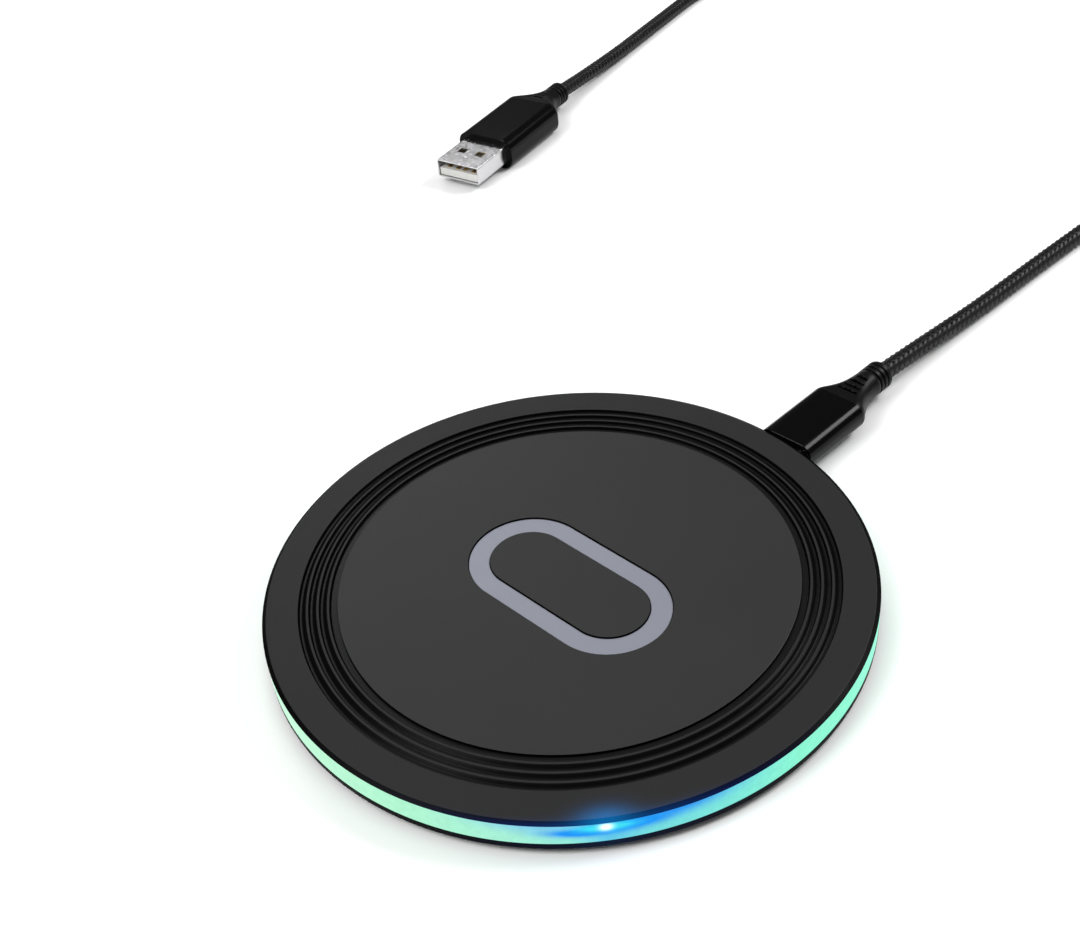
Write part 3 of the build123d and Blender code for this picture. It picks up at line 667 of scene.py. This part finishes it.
def plug_body(name, place, length, size):
    """The moulded grip: a softened front edge and straight sides."""
    width, height, corner = size
    stations = [(0, FRONT_SOFTENING), (FRONT_SOFTENING, 0.0)]
    stations += [(s, 0.0) for s in np.linspace(1.0, length, 16)]
    sections = []
    for s, inset in stations:
        sections.append((s, rounded_rectangle(width - 2 * inset, height - 2 * inset, corner)))
    return loft(name, place, sections)


def boot_width(share, width):
    """How the boot narrows from the grip's width to the collar: a short shoulder, then a hollow curve."""
    excess = width - COLLAR_DIAMETER
    if share < SHOULDER_SHARE:
        t = share / SHOULDER_SHARE
        return width - SHOULDER_FALL * excess * t * t
    t = (share - SHOULDER_SHARE) / (1 - SHOULDER_SHARE)
    return COLLAR_DIAMETER + (1 - SHOULDER_FALL) * excess * (1 - t) ** WAIST_POWER


def plug_boot(name, place, start, size):
    """The soft boot: a taper with slits in both broad faces, then a grooved collar with a rounded lip."""
    width, height, corner = size
    sections = []
    for s in np.linspace(0, BOOT_LENGTH, 28):
        share = s / BOOT_LENGTH
        w = boot_width(share, width)
        h = height + (COLLAR_DIAMETER - height) * share**2 - 0.35 * math.sin(math.pi * share) ** 2
        blend = max(0.0, (share - 0.35) / 0.65)
        c = corner * (1 - blend) + 0.499 * h * blend
        sections.append((start + s, rounded_rectangle(w, h, c)))
    collar = start + BOOT_LENGTH
    rings = [(0.0, 0.0)]
    for number in range(COLLAR_GROOVES):
        groove = COLLAR_FIRST + COLLAR_PITCH * number
        rings += [(groove - 0.08, 0.0), (groove, 0.07)]
        rings += [(groove + 0.04, COLLAR_DEPTH), (groove + 0.34, COLLAR_DEPTH)]
        rings += [(groove + 0.38, 0.07), (groove + 0.46, 0.0)]
    rings += [(COLLAR_LENGTH - 0.35, 0.0), (COLLAR_LENGTH - 0.12, 0.12), (COLLAR_LENGTH - 0.02, 0.4)]
    rings += [(COLLAR_LENGTH, 0.75), (COLLAR_LENGTH - 0.12, 1.05)]
    for s, inset in rings:
        across = COLLAR_DIAMETER - 2 * inset
        sections.append((collar + s, rounded_rectangle(across, across, across / 2)))
    boot = loft(name, place, sections)
    tools = []
    for number in range(SLIT_COUNT):
        outline = rounded_rectangle(SLIT_SPAN - SLIT_SHORTENING * number, SLIT_WIDTH, 0.39, 3, 5)
        count = len(outline)
        middle = start + SLIT_FIRST + SLIT_PITCH * number
        faces = [[k, (k + 1) % count, count + (k + 1) % count, count + k] for k in range(count)]
        faces += [list(range(count)), list(range(count, 2 * count))]
        for side in (1, -1):
            levels = (side * (height / 2 - SLIT_DEPTH), side * (height / 2 + 1.0))
            vertices = [place(x, level, middle + s) for level in levels for x, s in outline]
            tools.append(make_mesh(f"{name}_slit_{number}_{side}", vertices, faces, "cable"))
    cut(boot, tools)
    return boot


USBC_SIZE = (11.2, 5.4, 2.3)
usbc_place = plug_place(Vector((PORT_X, PLUG_FACE, PORT_Z)), Vector((0, 1, 0)))
USBC_LENGTH = PLUG_BACK - PLUG_FACE
usbc_grip = made_for(plug_body("usbc_grip", usbc_place, USBC_LENGTH, USBC_SIZE), "usbc_housing")
usbc_relief = made_for(plug_boot("usbc_relief", usbc_place, USBC_LENGTH, USBC_SIZE), "usbc_boot")

USBA_SIZE = (15.4, 7.6, 2.8)
USBA_LENGTH = 21.0
USBA_HEADING = math.radians(-77.8)
USBA_OUT = -Vector((math.cos(USBA_HEADING), math.sin(USBA_HEADING), 0))
usba_front = Vector(TAIL_ROUTE[-1]) - USBA_OUT * (USBA_LENGTH + BOOT_LENGTH + COLLAR_LENGTH)
usba_place = plug_place(usba_front, USBA_OUT)
usba_grip = made_for(plug_body("usba_grip", usba_place, USBA_LENGTH, USBA_SIZE), "usba_housing")
usba_relief = made_for(plug_boot("usba_relief", usba_place, USBA_LENGTH, USBA_SIZE), "usba_boot")

# ---------------------------------------------------------------- materials


class Shader:
    """A new material, or one made earlier, with one Principled shader and short calls to add nodes."""

    def __init__(self, name=None, material=None):
        self.material = material or bpy.data.materials.new(name)
        self.material.use_nodes = True
        self.nodes, self.links = self.material.node_tree.nodes, self.material.node_tree.links
        self.principled = self.nodes["Principled BSDF"]
        self.place = self.add("ShaderNodeTexCoord").outputs["Object"]

    def put(self, socket, value):
        """Feeds a socket from another one, or sets it to a constant."""
        if isinstance(value, bpy.types.NodeSocket):
            self.links.new(value, socket)
        else:
            socket.default_value = value

    def add(self, kind, inputs=None, **settings):
        node = self.nodes.new(kind)
        for key, value in settings.items():
            setattr(node, key, value)
        for key, value in (inputs or {}).items():
            self.put(node.inputs[key], value)
        return node

    def noise(self, scale, detail=3.0, roughness=0.55, vector=None):
        settings = {"Vector": vector or self.place, "Scale": scale}
        settings |= {"Detail": detail, "Roughness": roughness}
        return self.add("ShaderNodeTexNoise", settings).outputs["Fac"]

    def maths(self, operation, a, b=0.0, c=0.0, clamp=False):
        node = self.add("ShaderNodeMath", {0: a, 1: b, 2: c}, operation=operation)
        node.use_clamp = clamp
        return node.outputs[0]

    def spread(self, value, low, high, to_low, to_high):
        settings = {"Value": value, "From Min": low, "From Max": high, "To Min": to_low, "To Max": to_high}
        return self.add("ShaderNodeMapRange", settings).outputs["Result"]

    def mix(self, share, a, b):
        return self.add("ShaderNodeMix", {0: share, 6: a, 7: b}, data_type="RGBA").outputs[2]

    def ramp(self, value, stops):
        node = self.add("ShaderNodeValToRGB", {"Fac": value})
        while len(node.color_ramp.elements) < len(stops):
            node.color_ramp.elements.new(0.5)
        for element, (at, colour) in zip(node.color_ramp.elements, stops):
            element.position = at
            element.color = colour
        return node.outputs["Color"]

    def bump(self, height, strength, distance):
        node = self.add("ShaderNodeBump", {"Height": height, "Strength": strength, "Distance": distance})
        self.links.new(node.outputs["Normal"], self.principled.inputs["Normal"])

    def set(self, **values):
        for key, value in values.items():
            self.put(self.principled.inputs[key.replace("_", " ")], value)


def grey(level):
    return (level, level, level, 1)


def moulded(name, level, roughness, grain=2600, depth=0.12, specular=0.5):
    """Moulded plastic: fine spark-eroded grain in bump and roughness, and slight cloudiness in colour."""
    shader = Shader(name)
    fine = shader.noise(grain, 4.0)
    cloud = shader.noise(60, 2.0)
    colour = shader.mix(cloud, grey(level * 0.93), grey(level * 1.07))
    shader.set(
        Base_Color=colour,
        Roughness=shader.spread(fine, 0.3, 0.7, roughness - 0.04, roughness + 0.04),
        Specular_IOR_Level=specular,
    )
    shader.bump(fine, depth, 0.00004)
    return shader.material


cover_plastic = moulded("cover_plastic", 0.0166, 0.5, specular=0.11)
panel_plastic = moulded("panel_plastic", 0.0218, 0.48, grain=3200, depth=0.08, specular=0.14)
# Painted shade: the near-black wall material darkens steep groove walls, the rim bevel and the mark's
# pocket; the darker floor and slope materials are partly the grooves' own dark gloss, partly painted shade.
painted_shade_wall = moulded("painted_shade_wall", 0.0012, 0.4, grain=900, depth=0.03, specular=0.03)
groove_floor_gloss_and_shade = moulded("groove_floor_gloss_and_shade", 0.005, 0.34, grain=900, depth=0.03, specular=0.09)
groove_slope_gloss_and_shade = moulded("groove_slope_gloss_and_shade", 0.002, 0.3, grain=900, depth=0.03, specular=0.04)
base_plastic = moulded("base_plastic", 0.0015, 0.42, specular=0.03)
plug_plastic = moulded("plug_plastic", 0.0015, 0.19, grain=4000, depth=0.004, specular=0.08)
boot_plastic = moulded("boot_plastic", 0.002, 0.38, grain=3000, depth=0.03, specular=0.1)
foot_rubber = moulded("foot_rubber", 0.016, 0.7, grain=1200, depth=0.3)


def mark_metal():
    """Satin silver-grey inlay with very fine brushing along its length."""
    shader = Shader("inlay_silver")
    stretch = shader.add("ShaderNodeMapping", {"Vector": shader.place, "Scale": (0.05, 1, 1)}).outputs[0]
    brushed = shader.noise(4000, 3.0, vector=stretch)
    cloud = shader.noise(90, 2.0)
    colour = shader.mix(cloud, (0.180, 0.190, 0.230, 1), (0.194, 0.204, 0.244, 1))
    shader.set(Base_Color=colour, Metallic=0.1, Roughness=shader.spread(brushed, 0.3, 0.7, 0.38, 0.52))
    shader.bump(brushed, 0.05, 0.00002)
    return shader.material


def srgb(*levels):
    """A linear colour from display levels of 0 to 255."""
    return tuple(((c / 255 + 0.055) / 1.055) ** 2.4 if c > 10 else c / 255 / 12.92 for c in levels) + (1,)


def hot_place(shader):
    """Where a point lies from the hottest lamp: along the rim, out from it, and up from the band's foot."""
    turn = (0, 0, -math.radians(HOT_ANGLE))
    turned = shader.add("ShaderNodeMapping", {"Vector": shader.place, "Rotation": turn}).outputs[0]
    parts = shader.add("ShaderNodeSeparateXYZ", {"Vector": turned}).outputs
    angle = shader.maths("ARCTAN2", parts["Y"], parts["X"])
    along = shader.maths("MULTIPLY", angle, PAD_RADIUS)
    flat = shader.add("ShaderNodeVectorMath", {0: turned, 1: (1, 1, 0)}, operation="MULTIPLY").outputs[0]
    radius = shader.add("ShaderNodeVectorMath", {0: flat}, operation="LENGTH").outputs["Value"]
    out = shader.maths("MULTIPLY_ADD", radius, 1 / MM, -PAD_RADIUS)
    level = shader.spread(parts["Z"], LIGHT_LOW * MM, LIGHT_HIGH * MM, 0.0, 1.0)
    return along, out, level


def lobe(shader, *terms):
    """A bell-shaped falloff over (value, middle, width) terms."""
    total = 0.0
    for value, middle, width in terms:
        scaled = shader.maths("MULTIPLY_ADD", value, 1 / width, -middle / width)
        total = shader.maths("MULTIPLY_ADD", scaled, scaled, total)
    return shader.maths("EXPONENT", shader.maths("MULTIPLY", total, -1.0))


def glow():
    """The lit diffuser: mint, with aqua and blue round the hottest lamp, and a burnt-out white core."""
    shader = Shader("light_diffuser")
    along, _, level = hot_place(shader)
    reach = 160
    share = shader.spread(along, -reach, reach, 0.0, 1.0)
    stops = [
        (-reach, (150, 252, 214)),
        (-60, (197, 252, 216)),
        (-30, (180, 252, 214)),
        (-12, (168, 246, 220)),
        (-5, (150, 240, 222)),
        (0, (100, 206, 238)),
        (6, (118, 226, 228)),
        (20, (128, 238, 222)),
        (32, (140, 252, 214)),
        (reach, (150, 252, 214)),
    ]
    colour = shader.ramp(share, [((at + reach) / (2 * reach), srgb(*tone)) for at, tone in stops])
    for middle, width, height, rise, amount, tone in (
        (-9.0, 9.0, 1.05, 0.35, 0.8, (120, 200, 250)),
        (10.0, 9.0, 1.05, 0.42, 1.1, (50, 160, 250)),
        (-3.0, 5.5, 0.6, 0.22, 1.5, (20, 148, 255)),
        (4.0, 5.0, 0.78, 0.28, 1.5, (16, 150, 255)),
        (0.0, 3.0, 0.8, 0.3, 1.0, (30, 190, 255)),
        (0.0, 3.6, 0.79, 0.17, 1.6, (60, 232, 255)),
    ):
        flare = lobe(shader, (along, middle, width), (level, height, rise))
        share = shader.maths("MULTIPLY", flare, amount, clamp=True)
        colour = shader.mix(share, colour, srgb(*tone))
    core = shader.maths("MULTIPLY", lobe(shader, (along, 0.0, 0.9), (level, 0.8, 0.17)), 1.1, clamp=True)
    colour = shader.mix(core, colour, (1, 1, 1, 1))
    strength = shader.spread(shader.noise(900, 2.0), 0.3, 0.7, 0.9, 0.98)
    shader.set(
        Base_Color=(0.003, 0.004, 0.004, 1),
        Roughness=0.35,
        Specular_IOR_Level=0.04,
        Emission_Color=colour,
        Emission_Strength=shader.maths("MULTIPLY_ADD", core, 0.5, strength),
    )
    return shader.material


def paint_rim_glow(material):
    """Paints the blue glow of the hottest lamp on the rim as emission, painted light: navy along it,
    brighter at the lamp.
    """
    shader = Shader(material=material)
    along, out, level = hot_place(shader)
    navy = lobe(shader, (along, 2.0, 19.0), (out, 0.2, 0.75), (level, 0.95, 0.65))
    haze = lobe(shader, (along, 2.0, 9.0), (out, 0.2, 1.3), (level, 1.1, 0.6))
    bright = lobe(shader, (along, 0.0, 3.7), (out, -0.3, 2.1), (level, 1.1, 0.6))
    colour = shader.mix(navy, (0, 0, 0, 1), srgb(0, 28, 96))
    colour = shader.mix(shader.maths("MULTIPLY", haze, 0.6), colour, srgb(0, 66, 120))
    colour = shader.mix(shader.maths("MULTIPLY", bright, 0.85), colour, srgb(0, 104, 172))
    shader.set(Emission_Color=colour, Emission_Strength=1.0)


def braid():
    """Black nylon yarn: fine twisted fibres with a soft sheen."""
    shader = Shader("cord_braid")
    fibres = shader.noise(5200, 2.0)
    patch = shader.noise(700, 2.0)
    colour = shader.mix(patch, grey(0.0015), grey(0.007))
    shader.set(
        Base_Color=colour,
        Roughness=shader.spread(fibres, 0.3, 0.7, 0.26, 0.44),
        Specular_IOR_Level=0.2,
        Sheen_Weight=0.02,
        Sheen_Roughness=0.4,
    )
    shader.bump(fibres, 0.5, 0.00008)
    return shader.material


def assign(piece, *materials):
    piece.data.materials.clear()
    for material in materials:
        piece.data.materials.append(material)


assign(top_cover, cover_plastic, groove_floor_gloss_and_shade, painted_shade_wall, groove_slope_gloss_and_shade)
GROOVE_END = GROOVE_START + GROOVE_COUNT * GROOVE_PITCH
# Painted shade by face angle: steep groove faces and the rim bevel get the near-black wall material, sloped
# and sunk groove faces the darker slope and floor materials.
for face in top_cover.data.polygons:
    radius = math.hypot(face.center.x, face.center.y) / MM
    height = face.center.z / MM
    grooved = GROOVE_START - 0.1 < radius < GROOVE_END and height > PAD_TOP - 1
    if radius > TOP_FACE_RADIUS + 0.08 or (grooved and abs(face.normal.z) < 0.5):
        face.material_index = 2
    elif grooved and abs(face.normal.z) < 0.97:
        face.material_index = 3
    elif grooved and height < PAD_TOP - 0.1:
        face.material_index = 1
assign(cover_pillars, cover_plastic)
assign(panel, panel_plastic, painted_shade_wall)
# Painted shade: the mark's pocket walls and floor get the near-black wall material.
for face in panel.data.polygons:
    sunk = face.center.z < (PAD_TOP - 0.1) * MM
    face.material_index = 1 if sunk or abs(face.normal.z) < 0.5 else 0
assign(mark, mark_metal())
assign(light_band, glow())
assign(base_shell, base_plastic)
assign(foot, foot_rubber)
assign(usbc_grip, plug_plastic)
assign(usba_grip, plug_plastic)
assign(usbc_relief, boot_plastic)
assign(usba_relief, boot_plastic)
assign(cord, braid())
# Painted light: the cover, wall and base materials emit the blue glow of the hottest lamp round it.
paint_rim_glow(cover_plastic)
paint_rim_glow(painted_shade_wall)
paint_rim_glow(base_plastic)

# ---------------------------------------------------------------- materials of the pieces kept as packed


def metal(name, colour, roughness, scale=1500):
    """Plain metal with a faint mottle in colour, roughness and bump."""
    shader = Shader(name)
    fine = shader.noise(scale, 3.0)
    dull = tuple(c * 0.85 for c in colour[:3]) + (1,)
    shader.set(
        Base_Color=shader.mix(fine, dull, colour),
        Metallic=1.0,
        Roughness=shader.spread(fine, 0.3, 0.7, roughness - 0.05, roughness + 0.08),
    )
    shader.bump(fine, 0.06, 0.00002)
    return shader.material


def coloured(name, colour, roughness, scale=900, contrast=0.15):
    """Resin, ceramic or fabric of one colour, mottled by fine noise."""
    shader = Shader(name)
    fine = shader.noise(scale, 3.0)
    dark = tuple(c * (1 - contrast) for c in colour[:3]) + (1,)
    shader.set(
        Base_Color=shader.mix(fine, dark, colour),
        Roughness=shader.spread(fine, 0.3, 0.7, roughness - 0.06, roughness + 0.06),
    )
    shader.bump(fine, 0.1, 0.00003)
    return shader.material


kept_materials = {
    "port_bezel": base_plastic,
    "socket_shell": metal("socket_steel", (0.62, 0.62, 0.63, 1), 0.28),
    "socket_tongue": coloured("black_insulator", (0.012, 0.012, 0.012, 1), 0.45),
    "circuit_board": coloured("board_laminate", (0.008, 0.07, 0.035, 1), 0.3, 400, 0.3),
    "cover_screws": metal("screw_steel", (0.35, 0.35, 0.36, 1), 0.35),
    "board_screws": metal("board_screw_steel", (0.45, 0.45, 0.46, 1), 0.3),
    "ferrite_plate": coloured("ferrite_ceramic", (0.03, 0.03, 0.033, 1), 0.55),
    "coil_adhesive": coloured("adhesive_film", (0.7, 0.62, 0.4, 1), 0.35),
    "transmitter_coil": metal("litz_copper", (0.7, 0.3, 0.14, 1), 0.38, 2500),
    "coil_leads": metal("lead_copper", (0.7, 0.3, 0.14, 1), 0.38, 2500),
    "thermistor": coloured("sensor_epoxy", (0.02, 0.05, 0.14, 1), 0.25),
    "controller_chip": coloured("chip_epoxy", (0.014, 0.014, 0.015, 1), 0.5),
    "bridge_transistors": coloured("transistor_epoxy", (0.016, 0.016, 0.017, 1), 0.5),
    "resonant_capacitors": coloured("capacitor_ceramic", (0.42, 0.27, 0.14, 1), 0.4),
    "input_capacitors": coloured("capacitor_tan", (0.5, 0.38, 0.22, 1), 0.4),
    "clock_crystal": metal("can_steel", (0.65, 0.65, 0.66, 1), 0.25),
    "power_inductor": coloured("inductor_ferrite", (0.05, 0.05, 0.055, 1), 0.6),
    "led_strip": coloured("strip_film", (0.75, 0.75, 0.72, 1), 0.5),
    "ring_leds": coloured("led_resin", (0.85, 0.85, 0.6, 1), 0.2),
    "usbc_shell": metal("plug_steel", (0.66, 0.66, 0.67, 1), 0.2),
    "usbc_insulator": coloured("plug_insulator", (0.015, 0.015, 0.015, 1), 0.45),
    "usba_shell": metal("usba_steel", (0.66, 0.66, 0.67, 1), 0.2),
    "usba_insulator": coloured("white_insulator", (0.75, 0.75, 0.72, 1), 0.4),
    "usba_contacts": metal("contact_gold", (0.85, 0.6, 0.24, 1), 0.25),
    "cable_tie": coloured("tie_fabric", (0.012, 0.012, 0.013, 1), 0.8, 2500, 0.5),
}
for node_name, material in kept_materials.items():
    assign(nodes[node_name], material)

# ---------------------------------------------------------------- floor, light


def make_floor():
    mesh = bpy.data.meshes.new("floor")
    half = 4.0
    corners = [(-half, -half, 0), (half, -half, 0), (half, half, 0), (-half, half, 0)]
    mesh.from_pydata(corners, [], [(0, 1, 2, 3)])
    floor = bpy.data.objects.new("floor", mesh)
    bpy.context.scene.collection.objects.link(floor)
    shader = Shader("floor")
    shader.set(Base_Color=(0.91, 0.91, 0.91, 1), Roughness=0.9, Specular_IOR_Level=0.1)
    assign(floor, shader.material)


def softbox(name, aside, ahead, up, size, power):
    """An area light placed as the camera sees it, in metres, aimed at the pad."""
    data = bpy.data.lights.new(name, "AREA")
    data.shape = "RECTANGLE"
    data.size, data.size_y = size
    data.energy = power
    light = bpy.data.objects.new(name, data)
    light.location = view_direction(aside, ahead, up)
    light.rotation_euler = (-light.location).to_track_quat("-Z", "Y").to_euler()
    bpy.context.scene.collection.objects.link(light)


def make_light():
    """A studio bright overhead and dim low down, with softboxes at the left, behind and at the right."""
    world = bpy.data.worlds.new("studio")
    bpy.context.scene.world = world
    world.use_nodes = True
    tree = world.node_tree
    direction = tree.nodes.new("ShaderNodeTexCoord").outputs["Generated"]
    parts = tree.nodes.new("ShaderNodeSeparateXYZ")
    tree.links.new(direction, parts.inputs[0])
    strength = tree.nodes.new("ShaderNodeMapRange")
    tree.links.new(parts.outputs["Z"], strength.inputs["Value"])
    for key, value in (("From Min", 0.72), ("From Max", 1.0), ("To Min", 0.15), ("To Max", 1.5)):
        strength.inputs[key].default_value = value
    tree.links.new(strength.outputs["Result"], tree.nodes["Background"].inputs["Strength"])
    tree.nodes["Background"].inputs["Color"].default_value = (1, 1, 1, 1)
    softbox("key_softbox", -0.6, -0.2, 0.75, (0.5, 0.5), 5.9)
    softbox("back_softbox", -0.16, 0.87, 0.62, (0.4, 0.2), 1.7)
    softbox("side_softbox", 0.72, 0.23, 0.68, (0.42, 0.24), 6.5)


make_floor()
make_light()
bpy.context.scene.view_settings.view_transform = "Standard"
